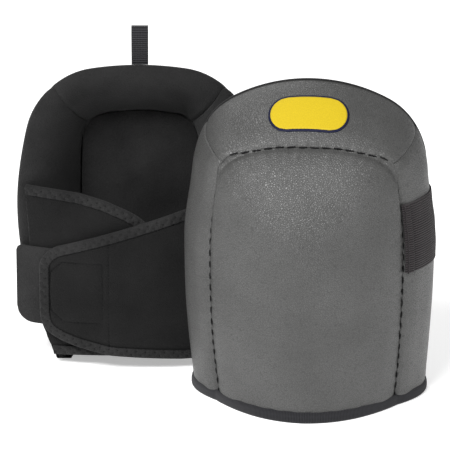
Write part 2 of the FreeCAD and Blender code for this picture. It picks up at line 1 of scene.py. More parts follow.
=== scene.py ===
import math
import bpy
import numpy as np
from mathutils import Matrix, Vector


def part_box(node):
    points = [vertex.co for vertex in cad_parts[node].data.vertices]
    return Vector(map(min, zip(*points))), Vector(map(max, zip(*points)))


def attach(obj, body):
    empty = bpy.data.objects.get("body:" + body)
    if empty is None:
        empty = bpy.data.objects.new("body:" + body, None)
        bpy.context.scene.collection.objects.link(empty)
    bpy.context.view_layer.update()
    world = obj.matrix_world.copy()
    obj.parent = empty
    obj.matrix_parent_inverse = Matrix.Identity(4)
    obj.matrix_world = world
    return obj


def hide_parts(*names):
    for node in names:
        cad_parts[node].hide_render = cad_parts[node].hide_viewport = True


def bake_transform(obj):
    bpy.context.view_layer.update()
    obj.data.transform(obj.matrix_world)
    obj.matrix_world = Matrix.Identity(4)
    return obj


# A pair of strap-on knee pads. Sizes in the shaping functions are millimetres in a pad's own
# frame: x across the knee, z up, rim at y = 0 and the knee bulge towards -y.

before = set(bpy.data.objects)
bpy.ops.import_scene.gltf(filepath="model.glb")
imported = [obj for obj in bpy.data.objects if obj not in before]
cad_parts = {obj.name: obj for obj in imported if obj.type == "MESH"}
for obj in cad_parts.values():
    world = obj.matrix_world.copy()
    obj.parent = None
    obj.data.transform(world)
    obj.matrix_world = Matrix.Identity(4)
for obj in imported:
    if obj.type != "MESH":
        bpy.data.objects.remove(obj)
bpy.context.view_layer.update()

PADS = {
    "front": dict(place=(0.062633, -0.024660), turn=math.radians(-4), low=79.5, rim_low=83.0,
                  rim_wide=85.5, crown=231.5, mid_crown=222.0, mid_wide=88.0, drop=0.0, hide=0.955,
                  wrap=4.0, corner=50.0, arc=126.0, mid_arc=145.0, pinch=0.05, tab=83.5),
    "rear": dict(place=(-0.061367, 0.025340), turn=math.radians(180), low=62.0, rim_low=60.0,
                 rim_wide=89.0, crown=227.5, mid_crown=208.0, mid_wide=84.0, drop=4.0, hide=0.8,
                 wrap=13.0, corner=57.0, arc=230.0, mid_arc=230.0, pinch=0.012, tab=90.0),
}
WING = 56.0                # depth of the wings behind the rim
BULGE = 36.0               # how far the knee bulge stands in front of the seam
WIDE_AT = 118.0            # height at which a pad is widest
SPLIT = 0.36               # where the side seams meet the outline, from either foot
TOP_SHARE = 0.28           # the share of the outline that the top panel takes
GIRTH = 560.0              # length of the front seam's outline
CUP_GIRTH = 520.0          # length of the rim's outline
SHELL_RUN = 62.0           # from the front seam to the rim along the shell
COVER_WALL = 1.6           # leatherette and lining
STITCH_PITCH = 8.6         # seam thread
FINE_PITCH = 2.7           # stitched rows on the straps
ZIG_PITCH = 3.4            # zigzag over the edge tape
ZIG_ROWS = (1.5, 4.3)      # its two rows, in from the edge
STRAP_R = 187.0            # curve of the long strap
TURN = 2 * math.pi
AXIS = (6.4546, -161.216)  # centre of that curve, in plan


def clean():
    bpy.ops.object.select_all(action="DESELECT")


def stand(pad, spots):
    """Pad-local millimetres to metres in the shared frame."""
    side = PADS[pad]
    c, s = math.cos(side["turn"]), math.sin(side["turn"])
    out = np.empty_like(spots)
    out[:, 0] = side["place"][0] + (c * spots[:, 0] - s * spots[:, 1]) / 1000
    out[:, 1] = side["place"][1] + (s * spots[:, 0] + c * spots[:, 1]) / 1000
    out[:, 2] = spots[:, 2] / 1000
    return out


def unstand(pad, spots):
    """Metres in the shared frame back to pad-local millimetres."""
    side = PADS[pad]
    c, s = math.cos(side["turn"]), math.sin(side["turn"])
    x = (spots[:, 0] - side["place"][0]) * 1000
    y = (spots[:, 1] - side["place"][1]) * 1000
    return np.column_stack([c * x + s * y, -s * x + c * y, spots[:, 2] * 1000])


# ------------------------------------------------------------------ shared shader groups
def new_group(name, inputs, outputs):
    group = bpy.data.node_groups.new(name, "ShaderNodeTree")
    for label, kind, value in inputs:
        socket = group.interface.new_socket(label, in_out="INPUT", socket_type=kind)
        socket.default_value = value
    for label, kind in outputs:
        group.interface.new_socket(label, in_out="OUTPUT", socket_type=kind)
    into = group.nodes.new("NodeGroupInput")
    out = group.nodes.new("NodeGroupOutput")
    return group, into, out


def math_node(tree, how, first, second=None):
    node = tree.nodes.new("ShaderNodeMath")
    node.operation = how
    for k, value in enumerate((first, second)):
        if value is None:
            continue
        if isinstance(value, (int, float)):
            node.inputs[k].default_value = value
        else:
            tree.links.new(value, node.inputs[k])
    return node.outputs[0]


def grain_group():
    """Rounded pebbles with creases between them, and a slow unevenness."""
    group, into, out = new_group(
        "hide_grain", [("Vector", "NodeSocketVector", (0, 0, 0)), ("Size", "NodeSocketFloat", 600.0)],
        [("Height", "NodeSocketFloat"), ("Crease", "NodeSocketFloat"), ("Cloud", "NodeSocketFloat")])
    warp = group.nodes.new("ShaderNodeTexNoise")
    warp.inputs["Scale"].default_value = 240
    warp.inputs["Detail"].default_value = 2
    group.links.new(into.outputs["Vector"], warp.inputs["Vector"])
    mix = group.nodes.new("ShaderNodeVectorMath")
    mix.operation = "MULTIPLY_ADD"
    mix.inputs[1].default_value = (0.0016, 0.0016, 0.0016)
    group.links.new(warp.outputs["Color"], mix.inputs[0])
    group.links.new(into.outputs["Vector"], mix.inputs[2])
    cells = group.nodes.new("ShaderNodeTexVoronoi")
    cells.feature = "DISTANCE_TO_EDGE"
    group.links.new(mix.outputs[0], cells.inputs["Vector"])
    group.links.new(into.outputs["Size"], cells.inputs["Scale"])
    dome = group.nodes.new("ShaderNodeMapRange")
    dome.interpolation_type = "SMOOTHSTEP"
    dome.inputs["From Max"].default_value = 0.32
    group.links.new(cells.outputs["Distance"], dome.inputs["Value"])
    crease = group.nodes.new("ShaderNodeMapRange")
    crease.inputs["From Max"].default_value = 0.14
    crease.inputs["To Min"].default_value = 1
    crease.inputs["To Max"].default_value = 0
    group.links.new(cells.outputs["Distance"], crease.inputs["Value"])
    cloud = group.nodes.new("ShaderNodeTexNoise")
    cloud.inputs["Scale"].default_value = 26
    cloud.inputs["Detail"].default_value = 4
    group.links.new(into.outputs["Vector"], cloud.inputs["Vector"])
    group.links.new(dome.outputs[0], out.inputs["Height"])
    group.links.new(crease.outputs[0], out.inputs["Crease"])
    group.links.new(cloud.outputs["Fac"], out.inputs["Cloud"])
    return group


def knit_group():
    """Fine loops in rows, fuzz between them, and a slow unevenness."""
    group, into, out = new_group(
        "knit_loops", [("Vector", "NodeSocketVector", (0, 0, 0)), ("Pitch", "NodeSocketFloat", 900.0)],
        [("Height", "NodeSocketFloat"), ("Fuzz", "NodeSocketFloat"), ("Cloud", "NodeSocketFloat")])
    cells = group.nodes.new("ShaderNodeTexVoronoi")
    cells.feature = "SMOOTH_F1"
    group.links.new(into.outputs["Vector"], cells.inputs["Vector"])
    group.links.new(into.outputs["Pitch"], cells.inputs["Scale"])
    fuzz = group.nodes.new("ShaderNodeTexNoise")
    fuzz.inputs["Scale"].default_value = 1300
    fuzz.inputs["Detail"].default_value = 3
    group.links.new(into.outputs["Vector"], fuzz.inputs["Vector"])
    cloud = group.nodes.new("ShaderNodeTexNoise")
    cloud.inputs["Scale"].default_value = 32
    cloud.inputs["Detail"].default_value = 5
    group.links.new(into.outputs["Vector"], cloud.inputs["Vector"])
    height = math_node(group, "ADD", math_node(group, "MULTIPLY", cells.outputs["Distance"], -1.0),
                       math_node(group, "MULTIPLY", fuzz.outputs["Fac"], 0.5))
    group.links.new(height, out.inputs["Height"])
    group.links.new(fuzz.outputs["Fac"], out.inputs["Fuzz"])
    group.links.new(cloud.outputs["Fac"], out.inputs["Cloud"])
    return group


def rib_group():
    """Woven ribs across one direction of a strip's own map, with thread ticks along them."""
    group, into, out = new_group(
        "woven_ribs", [("Vector", "NodeSocketVector", (0, 0, 0)), ("Along", "NodeSocketFloat", 1.0),
                       ("Ticks", "NodeSocketFloat", 2.0)],
        [("Height", "NodeSocketFloat")])
    parts = group.nodes.new("ShaderNodeSeparateXYZ")
    group.links.new(into.outputs["Vector"], parts.inputs[0])
    rib, tick = (math_node(group, "SINE", math_node(group, "MULTIPLY", parts.outputs[axis],
                                                    into.outputs[label]))
                 for axis, label in (("X", "Along"), ("Y", "Ticks")))
    low = math_node(group, "MULTIPLY_ADD", rib, 0.5)
    low.node.inputs[2].default_value = 0.5
    height = math_node(group, "ADD", low, math_node(group, "MULTIPLY", tick, 0.12))
    group.links.new(height, out.inputs["Height"])
    return group


GRAIN = grain_group()
KNIT = knit_group()
RIBS = rib_group()


def finish_of(name, roughness, sheen=0.0, level=0.5):
    material = bpy.data.materials.new(name)
    material.use_nodes = True
    tree = material.node_tree
    shader = tree.nodes["Principled BSDF"]
    shader.inputs["Roughness"].default_value = roughness
    shader.inputs["Sheen Weight"].default_value = sheen
    shader.inputs["Sheen Roughness"].default_value = 0.5
    shader.inputs["Specular IOR Level"].default_value = level
    return material, tree, shader


def place_group(tree, group, coordinate, values):
    node = tree.nodes.new("ShaderNodeGroup")
    node.node_tree = group
    where = tree.nodes.new("ShaderNodeTexCoord")
    tree.links.new(where.outputs[coordinate], node.inputs["Vector"])
    for label, value in values.items():
        node.inputs[label].default_value = value
    return node


def ramp(tree, source, stops):
    node = tree.nodes.new("ShaderNodeValToRGB")
    while len(node.color_ramp.elements) < len(stops):
        node.color_ramp.elements.new(0.5)
    for element, (at, colour) in zip(node.color_ramp.elements, stops):
        element.position = at
        element.color = (*colour, 1)
    tree.links.new(source, node.inputs["Fac"])
    return node.outputs["Color"]


def bumped(tree, shader, height, strength, distance):
    bump = tree.nodes.new("ShaderNodeBump")
    bump.inputs["Strength"].default_value = strength
    bump.inputs["Distance"].default_value = distance
    tree.links.new(height, bump.inputs["Height"])
    tree.links.new(bump.outputs["Normal"], shader.inputs["Normal"])


def blend_colour(tree, factor, first, second, how="MIX"):
    node = tree.nodes.new("ShaderNodeMix")
    node.data_type = "RGBA"
    node.blend_type = how
    for socket, value in ((node.inputs[0], factor), (node.inputs[6], first), (node.inputs[7], second)):
        if isinstance(value, (int, float)):
            socket.default_value = value
        elif isinstance(value, tuple):
            socket.default_value = (*value, 1)
        else:
            tree.links.new(value, socket)
    return node.outputs[2]


def leatherette():
    material, tree, shader = finish_of("leatherette", 0.42)
    grain = place_group(tree, GRAIN, "Object", {"Size": 700.0})
    base = ramp(tree, grain.outputs["Cloud"],
                [(0.3, (0.047, 0.047, 0.0455)), (0.7, (0.068, 0.068, 0.0665))])
    # Painted shade: the colour darkens towards the creases between the pebbles of the grain.
    crease_shaded = blend_colour(tree, math_node(tree, "MULTIPLY", grain.outputs["Crease"], 0.8), base,
                        (0.024, 0.024, 0.0235))
    tree.links.new(crease_shaded, shader.inputs["Base Color"])
    rough = math_node(tree, "MULTIPLY_ADD", grain.outputs["Crease"], 0.2)
    rough.node.inputs[2].default_value = 0.40
    tree.links.new(rough, shader.inputs["Roughness"])
    bumped(tree, shader, grain.outputs["Height"], 0.5, 0.0003)
    return material


def knit(name, tone):
    material, tree, shader = finish_of(name, 0.92, 0.06, 0.14)
    loops = place_group(tree, KNIT, "Object", {"Pitch": 1150.0})
    low = (tone * 0.4, tone * 0.4, tone * 0.41)
    high = (tone * 1.75, tone * 1.73, tone * 1.74)
    mix = math_node(tree, "MULTIPLY", math_node(tree, "ADD", loops.outputs["Cloud"],
                                                loops.outputs["Fuzz"]), 0.5)
    tree.links.new(ramp(tree, mix, [(0.3, low), (0.72, high)]), shader.inputs["Base Color"])
    bumped(tree, shader, loops.outputs["Height"], 0.8, 0.0005)
    return material


def ribbed(name, low, high, rib, tick, depth):
    """Woven ribs with painted shade in their grooves and painted light on their crests; rib and tick
    are their spacings in millimetres.
    """
    material, tree, shader = finish_of(name, 0.8, 0.06, 0.2)
    ribs = place_group(tree, RIBS, "UV", {"Along": TURN / rib, "Ticks": TURN / tick})
    # Painted shade and light: the colour follows the rib height, dark in the grooves and light on the
    # crests.
    tree.links.new(ramp(tree, ribs.outputs["Height"], [(0.1, low), (0.85, high)]),
                   shader.inputs["Base Color"])
    bumped(tree, shader, ribs.outputs["Height"], 0.8, depth)
    return material


def plain_thread(name, colour):
    material, tree, shader = finish_of(name, 0.6, 0.0, 0.15)
    noise = tree.nodes.new("ShaderNodeTexNoise")
    noise.inputs["Scale"].default_value = 1800
    where = tree.nodes.new("ShaderNodeTexCoord")
    tree.links.new(where.outputs["Object"], noise.inputs["Vector"])
    low = tuple(0.85 * c for c in colour)
    tree.links.new(ramp(tree, noise.outputs["Fac"], [(0.35, low), (0.65, colour)]),
                   shader.inputs["Base Color"])
    bumped(tree, shader, noise.outputs["Fac"], 0.5, 0.0002)
    return material


HIDE = leatherette()
LINER = knit("liner_knit", 0.0135)
STRAP_CLOTH = knit("strap_knit", 0.0066)
FOAM = knit("foam_cells", 0.05)
EDGE_TAPE = knit("edge_tape", 0.0155)
# The low and high colours below are painted shade in the rib grooves and painted light on the rib
# crests.
GROSGRAIN = ribbed("grosgrain", (0.007, 0.007, 0.008), (0.024, 0.024, 0.028), 1.1, 3.0, 0.0004)
ELASTIC = ribbed("elastic_ribs", (0.004, 0.0035, 0.0038), (0.034, 0.028, 0.030), 1.65, 0.9, 0.0006)
WEBBING = ribbed("loop_ribs", (0.004, 0.004, 0.005), (0.03, 0.03, 0.033), 1.5, 2.0, 0.0006)
HOOKS = knit("hook_tape", 0.0175)
# Black thread, made darker still so that the stitch pits on the edge tape show as painted shade.
THREAD_WITH_PIT_SHADE = plain_thread("thread", (0.002, 0.002, 0.0024))
PRINT = plain_thread("badge_print", (0.52, 0.38, 0.012))
BORDER = plain_thread("badge_border", (0.006, 0.008, 0.03))


# ------------------------------------------------------------------ modelling helpers
def smooth(mesh):
    for face in mesh.polygons:
        face.use_smooth = True


def apply_modifier(piece, name, kind, **settings):
    """A modifier with its settings, applied at once."""
    modifier = piece.modifiers.new(name, kind)
    for label, value in settings.items():
        setattr(modifier, label, value)
    bpy.context.view_layer.objects.active = piece
    piece.select_set(True)
    bpy.ops.object.modifier_apply(modifier=modifier.name)


def length_along(points):
    """Running length at each point of a line."""
    return np.concatenate([[0], np.cumsum(np.linalg.norm(np.diff(points, axis=0), axis=1))])


def panel(name, pad, surface, across, along, wall=COVER_WALL, outward=1, map_size=None,
          crossed=False):
    """A grid shaped over surface(u, v) and given a wall; outward is the side the wall grows from."""
    clean()
    bpy.ops.mesh.primitive_grid_add(x_subdivisions=across, y_subdivisions=along, size=1,
                                    calc_uvs=True)
    piece = bpy.context.object
    piece.name = name
    mesh = piece.data
    mesh.name = name
    spots = np.empty(len(mesh.vertices) * 3, np.float32)
    mesh.vertices.foreach_get("co", spots)
    spots = spots.reshape(-1, 3).astype(float)
    u, v = spots[:, 0] + 0.5, spots[:, 1] + 0.5
    local = surface(u, v)
    mesh.vertices.foreach_set("co", stand(pad, local).astype(np.float32).ravel())
    if map_size:
        layer = mesh.uv_layers[0].data
        coords = np.empty(len(layer) * 2, np.float32)
        layer.foreach_get("uv", coords)
        coords = coords.reshape(-1, 2) * np.array(map_size, np.float32)
        if crossed:
            coords = coords[:, ::-1].copy()
        layer.foreach_set("uv", coords.ravel())
    mesh.update()
    if outward < 0:
        mesh.flip_normals()
    if wall:
        apply_modifier(piece, "wall", "SOLIDIFY", thickness=wall / 1000, offset=-1,
                       use_even_offset=False)
    smooth(mesh)
    clean()
    return piece


def dress(piece, material, body, slot_name, *nodes):
    piece.data.materials.clear()
    piece.data.materials.append(material)
    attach(piece, body)
    if nodes:
        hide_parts(*nodes)
    return piece


def capsule_template():
    """One stitch: a low round-ended bar of length 1 along x and radius 1."""
    clean()
    bpy.ops.mesh.primitive_uv_sphere_add(segments=8, ring_count=6, radius=1)
    piece = bpy.context.object
    spots = np.array([vertex.co for vertex in piece.data.vertices])
    faces = [tuple(face.vertices) for face in piece.data.polygons]
    bpy.data.objects.remove(piece)
    spots = spots[:, [2, 0, 1]]
    return spots, faces


STITCH, STITCH_FACES = capsule_template()


def stitches(name, pad, runs, radius):
    """Thread bars: runs is a list of (start, end, outward) in pad millimetres."""
    count = len(STITCH)
    spots = []
    faces = []
    for number, (start, end, out) in enumerate(runs):
        start, end, out = (np.asarray(q, float) for q in (start, end, out))
        along = end - start
        length = np.linalg.norm(along)
        along = along / length
        out = out - along * out.dot(along)
        out = out / max(1e-9, np.linalg.norm(out))
        side = np.cross(out, along)
        half = length / 2
        flat = STITCH
        x = flat[:, 0] * radius + np.sign(flat[:, 0]) * (half - radius) * (np.abs(flat[:, 0]) > 1e-6)
        sag = -0.35 * radius * (x / half) ** 2
        middle = (start + end) / 2
        bar = (middle + np.outer(x, along) + np.outer(flat[:, 1] * radius, side)
               + np.outer(flat[:, 2] * radius * 0.8 + sag, out))
        spots.append(bar)
        faces += [tuple(index + number * count for index in face) for face in STITCH_FACES]
    mesh = bpy.data.meshes.new(name)
    mesh.from_pydata(stand(pad, np.vstack(spots)).tolist(), [], faces)
    mesh.update()
    smooth(mesh)
    piece = bpy.data.objects.new(name, mesh)
    bpy.context.collection.objects.link(piece)
    piece.data.materials.append(THREAD_WITH_PIT_SHADE)
    return piece


def smooth_step(x, low, high):
    w = np.clip((x - low) / (high - low), 0, 1)
    return w * w * (3 - 2 * w)


# ------------------------------------------------------------------ the outer form of a pad
def side_radius(low, wide):
    """Radius of an outline's side, from its foot to its widest place."""
    return (WIDE_AT ** 2 + (wide - low) ** 2) / (2 * (wide - low))


def arch_line(low, wide, crown, corner, arc):
    """Right half of an outline: foot to the middle of the corner, and on to the crown."""
    side = side_radius(low, wide)
    c1 = np.array([wide - side, WIDE_AT])
    c3 = np.array([0.0, crown - arc])
    d1, d2 = side - corner, arc - corner
    gap = c3 - c1
    apart = np.linalg.norm(gap)
    a = (d1 ** 2 - d2 ** 2 + apart ** 2) / (2 * apart)
    h = math.sqrt(max(0, d1 ** 2 - a ** 2))
    foot = c1 + gap * a / apart
    turn = np.array([-gap[1], gap[0]]) / apart
    c2 = max((foot + turn * h, foot - turn * h), key=lambda q: q[0] + q[1])
    t0 = -math.asin(WIDE_AT / side)
    t1 = math.atan2(*(c2 - c1)[::-1])
    t2 = math.atan2(*(c2 - c3)[::-1])
    middle = (t1 + t2) / 2

    def part(centre, r, a0, a1, n):
        turns = np.linspace(a0, a1, n)
        return np.column_stack([centre[0] + r * np.cos(turns), centre[1] + r * np.sin(turns)])

    first = np.vstack([part(c1, side, t0, t1, 120), part(c2, corner, t1, middle, 40)[1:]])
    second = np.vstack([part(c2, corner, middle, t2, 40), part(c3, arc, t2, math.pi / 2, 80)[1:]])
    return first, second


def even(line, f):
    """Points of a line at shares f of its length."""
    steps = length_along(line)
    want = f * steps[-1]
    return np.column_stack([np.interp(want, steps, line[:, 0]), np.interp(want, steps, line[:, 1])])


def arch_at(shape, t):
    """Point (x, z) of an outline at t, 0 left foot to 1 right foot."""
    first, second = arch_line(*shape[:5])
    mirrored = t < 0.5
    s = np.where(mirrored, 1 - t, t)
    out = np.zeros((len(t), 2))
    on_side = s >= 1 - SPLIT
    out[on_side] = even(first, (1 - s[on_side]) / SPLIT)
    out[~on_side] = even(second, (1 - SPLIT - s[~on_side]) / (0.5 - SPLIT))
    out[mirrored, 0] *= -1
    out[:, 0] *= 1 - shape[5] * smooth_step(out[:, 1], WIDE_AT, 172.0)
    return out


def station_shapes(pad):
    """Outlines at the rim, half way and at the front seam: low, wide, crown, corner, arc, pinch."""
    side = PADS[pad]
    rim = (side["rim_low"], side["rim_wide"], side["crown"], side["corner"], side["arc"], side["pinch"])
    mid = (side["low"], side["mid_wide"], side["mid_crown"], 53.0, side["mid_arc"], side["pinch"])
    seam = (min(63.0, side["low"] - 3), 69.0, 198.0 - side["drop"], 17.0, 250.0, side["pinch"])
    return rim, mid, seam


def wing_at(z):
    """Depth of the front seam behind the rim: the wings grow shorter near the foot."""
    return WING - 16.0 * (1 - smooth_step(z, -5.0, 70.0))


def shell(pad, t, w):
    """Outer face of the wings and top: w runs from the front seam (0) to the rim (1)."""
    rim, mid, seam = station_shapes(pad)
    a = arch_at(rim, t)
    b = arch_at(mid, t)
    c = arch_at(seam, t)
    q = 1 - w
    k1, k2, k3 = (1 - q) * (1 - 2 * q), 4 * q * (1 - q), q * (2 * q - 1)
    flat = a * k1[:, None] + b * k2[:, None] + c * k3[:, None]
    return np.column_stack([flat[:, 0], -wing_at(flat[:, 1]) * q, flat[:, 1]])


def normals_of(surface, u, v, step=1e-3):
    du = surface(np.clip(u + step, 0, 1), v) - surface(np.clip(u - step, 0, 1), v)
    dv = surface(u, np.clip(v + step, 0, 1)) - surface(u, np.clip(v - step, 0, 1))
    n = np.cross(du, dv)
    return n / np.maximum(1e-9, np.linalg.norm(n, axis=1))[:, None]


def smooth_path(points, f):
    """Even, rounded run through a short list of points."""
    points = np.asarray(points, float)
    padded = np.vstack([2 * points[0] - points[1], points, 2 * points[-1] - points[-2]])
    at = np.clip(f, 0, 1) * (len(points) - 1)
    k = np.minimum(at.astype(int), len(points) - 2)
    g = (at - k)[:, None]
    p0, p1, p2, p3 = (padded[k + n] for n in range(4))
    return 0.5 * (2 * p1 + (p2 - p0) * g + (2 * p0 - 5 * p1 + 4 * p2 - p3) * g ** 2
                  + (3 * p1 - p0 - 3 * p2 + p3) * g ** 3)


def find_u(surface, axis, value, v):
    """Where along u a surface has the given x (axis 0) or z (axis 2), row by row."""
    dense = np.linspace(0, 1, 400)
    out = np.zeros_like(v)
    for row in np.unique(v):
        spots = surface(dense, np.full(len(dense), row))[:, axis]
        order = np.argsort(spots)
        pick = v == row
        out[pick] = np.interp(value[pick], spots[order], dense[order])
    return out


def outward_of(surface, u, v):
    """Points of a surface and their directions away from the middle of the pad."""
    spots = surface(u, v)
    out = normals_of(surface, u, v)
    away = spots - np.array([0, -20, 100])
    return spots, out * np.where(np.sum(out * away, axis=1) < 0, -1, 1)[:, None]


def ripple(x, pitch, seed):
    """Uneven gathers along a seam."""
    rng = np.random.default_rng(seed)
    total = np.zeros_like(x)
    for k in range(4):
        total += np.sin(TURN * x / (pitch * (1 + 0.37 * k)) + rng.uniform(0, TURN)) / (1 + 0.6 * k)
    return total / 2.0


def shell_panel(pad, start, end, w_end, seed):
    """The shell between two seams, puffed, drawn in along its seams and gathered by the thread."""
    def base(u, v):
        return shell(pad, start + (end - start) * u, v * w_end)

    def surface(u, v):
        spots, out = outward_of(base, u, v)
        t = start + (end - start) * u
        w = v * w_end
        along = t * GIRTH
        from_seam = w * SHELL_RUN
        dip = -1.3 * np.exp(-(from_seam / 1.9) ** 2) + 0.8 * np.exp(-((from_seam - 9) / 7.0) ** 2)
        dip += 0.36 * ripple(along, STITCH_PITCH, seed) * np.exp(-from_seam / 5.0)
        for edge, is_seam in ((start, start > 0), (end, end < 1)):
            if is_seam:
                gap = np.abs(t - edge) * GIRTH
                dip += -0.4 * np.exp(-(gap / 1.3) ** 2) + 0.3 * np.exp(-((gap - 7) / 6.0) ** 2)
                gather = 0.5 * ripple(from_seam, 11.0, seed + 5)
                dip += gather * np.exp(-gap / 6.0) * np.exp(-from_seam / 16)
        dip += 0.22 * ripple(along + 2 * from_seam, 90.0, seed + 9)
        return spots + out * dip[:, None]
    return surface


WINGS = {"left_wing": (0.0, SPLIT, 190), "top": (SPLIT, 1 - SPLIT, 150),
         "right_wing": (1 - SPLIT, 1.0, 190)}


def cover_face(pad, name):
    """The outer face of a wing or of the top."""
    start, end, across = WINGS[name]
    return shell_panel(pad, start, end, PADS[pad]["hide"], across + len(name) + len(pad))


def seam_gap(pad, x, z):
    """How far a point of the front panel lies inside the seam, rounded at the corners."""
    low, wide, crown, _, arc, _ = station_shapes(pad)[2]
    side = side_radius(low, wide)
    half = wide - (z - WIDE_AT) ** 2 / (2 * side)
    top = crown - x ** 2 / (2 * arc)
    s1, s2 = half - np.abs(x), (top - z) * 0.92
    blend = 11.0
    return np.minimum(s1, s2) - blend * np.log(1 + np.exp(-np.abs(s1 - s2) / blend))


def front_depth(pad, x, z):
    """How far the front panel stands before the rim."""
    s = np.clip(seam_gap(pad, x, z), 0, 69.0)
    rise = 1 - (1 - s / 69.0) ** 2.3
    return wing_at(z) + (BULGE + 0.25 * (WING - wing_at(z))) * rise


def patch(shape, u, v):
    """An outline filled from side to side and from foot to top, as flat (x, z)."""
    low = shape[0]
    left, right = arch_at(shape, SPLIT * v), arch_at(shape, 1 - SPLIT * v)
    foot = np.column_stack([low * (2 * u - 1), np.zeros_like(u)])
    top = arch_at(shape, SPLIT + TOP_SHARE * u)
    p00, p10 = np.array([-low, 0.0]), np.array([low, 0.0])
    p01, p11 = arch_at(shape, np.array([SPLIT, 1 - SPLIT]))
    a, b = u[:, None], v[:, None]
    return ((1 - a) * left + a * right + (1 - b) * foot + b * top
            - ((1 - a) * (1 - b) * p00 + a * (1 - b) * p10 + (1 - a) * b * p01 + a * b * p11))


def front_base(pad):
    seam = station_shapes(pad)[2]

    def surface(u, v):
        flat = patch(seam, u, v)
        depth = front_depth(pad, flat[:, 0], flat[:, 1])
        return np.column_stack([flat[:, 0], -depth, flat[:, 1]])
    return surface


def front_panel(pad, seed):
    base = front_base(pad)

    def surface(u, v):
        spots = base(u, v)
        out = normals_of(base, u, v)
        out *= np.where(out[:, 1] > 0, -1, 1)[:, None]
        s = np.clip(seam_gap(pad, spots[:, 0], spots[:, 2]), 0, 80)
        angle = np.arctan2(spots[:, 2] - 100, spots[:, 0])
        along = angle * 105
        dip = -1.3 * np.exp(-(s / 1.9) ** 2) + 0.9 * np.exp(-((s - 9) / 7.0) ** 2)
        dip += 0.4 * ripple(along, STITCH_PITCH, seed) * np.exp(-s / 5.0)
        dip += 0.3 * ripple(spots[:, 0] + 0.3 * spots[:, 2], 90.0, seed + 3)
        return spots + out * dip[:, None]
    return surface


# ------------------------------------------------------------------ the lined cup
FLOOR_SHAPE = (42.0, 43.5, 176.0, 20.0, 150.0, 0.03)


def cup_wall(pad, start, end, seed):
    """The lining from the outside of the rim, over its roll, down to the cup floor."""
    rim = station_shapes(pad)[0]
    wrap = PADS[pad]["wrap"]
    # (share of the way from the rim to the floor, depth)
    path = [(0, -wrap), (0, -0.6 * wrap - 0.4), (0.005, -min(3.6, 0.5 * wrap)), (0.05, -0.7),
            (0.13, 0), (0.24, -1.2), (0.38, -5.5), (0.54, -13.5), (0.7, -24), (0.86, -37),
            (1.0, -48.5)]

    def base(u, v):
        t = start + (end - start) * u
        way = smooth_path(path, v)
        q, y = way[:, 0], np.minimum(way[:, 1], 0.0)
        r = shell(pad, t, np.clip(1 + y / WING, 0.7, 1))
        edge = arch_at(rim, t)
        r = np.column_stack([r[:, 0], r[:, 2]])
        hold = smooth_step(q, 0.0, 0.2)[:, None]
        r = r * (1 - hold) + edge * hold
        f = arch_at(FLOOR_SHAPE, t)
        flat = r * (1 - q[:, None]) + f * q[:, None]
        lift = 0.9 * (1 - smooth_step(v, 0.1, 0.35))
        away = np.column_stack([flat[:, 0], flat[:, 1] - 110])
        away /= np.maximum(1, np.linalg.norm(away, axis=1))[:, None]
        flat = flat + away * lift[:, None]
        return np.column_stack([flat[:, 0], y, flat[:, 1]])

    def surface(u, v):
        spots = base(u, v)
        out = normals_of(base, u, v)
        t = start + (end - start) * u
        along = t * CUP_GIRTH
        dip = 0.35 * ripple(along + 40 * v, 33.0, seed) * smooth_step(v, 0.2, 0.5)
        for edge, is_seam in ((start, start > 0), (end, end < 1)):
            if is_seam:
                gap = np.abs(t - edge) * CUP_GIRTH
                dip += -1.1 * np.exp(-(gap / 2.4) ** 2) * smooth_step(v, 0.1, 0.3)
        gap = (1 - v) * 62
        dip += -1.0 * np.exp(-(gap / 3.0) ** 2)
        return spots + out * dip[:, None]
    return surface


def cup_floor():
    def surface(u, v):
        x, z = patch(FLOOR_SHAPE, u, v).T
        gap = np.minimum(FLOOR_SHAPE[1] - np.abs(x), FLOOR_SHAPE[2] - z)
        swell = 6.5 * np.exp(-((x / 24) ** 2 + ((z - 122) / 36) ** 2))
        edge = -1.0 * np.exp(-(np.clip(gap, 0, 99) / 3.0) ** 2) + 1.6 * smooth_step(gap, 0, 14)
        wave = 0.35 * ripple(x * 0.7 + z, 44.0, 4)
        return np.column_stack([x, -49.5 + swell + edge + wave, z])
    return surface


# ------------------------------------------------------------------ straps
def bend(x, radius, lift=0.0):
    """Depth of the strap circle at x."""
    return AXIS[1] + np.sqrt((radius + lift) ** 2 - (x - AXIS[0]) ** 2)


def outward(x, radius):
    n = np.column_stack([(x - AXIS[0]) / radius, bend(x, radius) - AXIS[1], np.zeros_like(x)])
    n[:, 1] /= radius
    return n


def long_edges(x):
    """Lower and upper edge of the long strap at x, its end rounded."""
    top = 137.5 - 0.315 * (x + 83)
    low = np.interp(x, [-83, -32, 22, 47, 58, 66, 70, 72], [8, 8.6, 12.2, 18.4, 22.4, 27, 32, 40])
    c = np.clip(x - 58, 0, 14)
    top = top - (14 - np.sqrt(np.clip(14 ** 2 - c ** 2, 0, None))) * 0.9
    return low, top


def short_edges(x):
    """Lower and upper edge of the short strap, which runs towards -x."""
    top = np.interp(x, [-9, -4, 10, 25, 43, 60, 83], [106, 113, 121, 127.5, 132.5, 134, 135])
    low = np.interp(x, [-9, 0, 20, 83], [22, 15, 10, 8])
    c = np.clip(3 - x, 0, 12)
    top = top - (12 - np.sqrt(np.clip(12 ** 2 - c ** 2, 0, None))) * 0.8
    low = low + (12 - np.sqrt(np.clip(12 ** 2 - c ** 2, 0, None))) * 0.9
    return low, top


# curve, root, tip, edges, and the way it runs along x
STRAPS = {"long": (STRAP_R, -83.0, 72.0, long_edges, 1),
          "short": (STRAP_R - 6.4, 82.0, -9.0, short_edges, -1)}


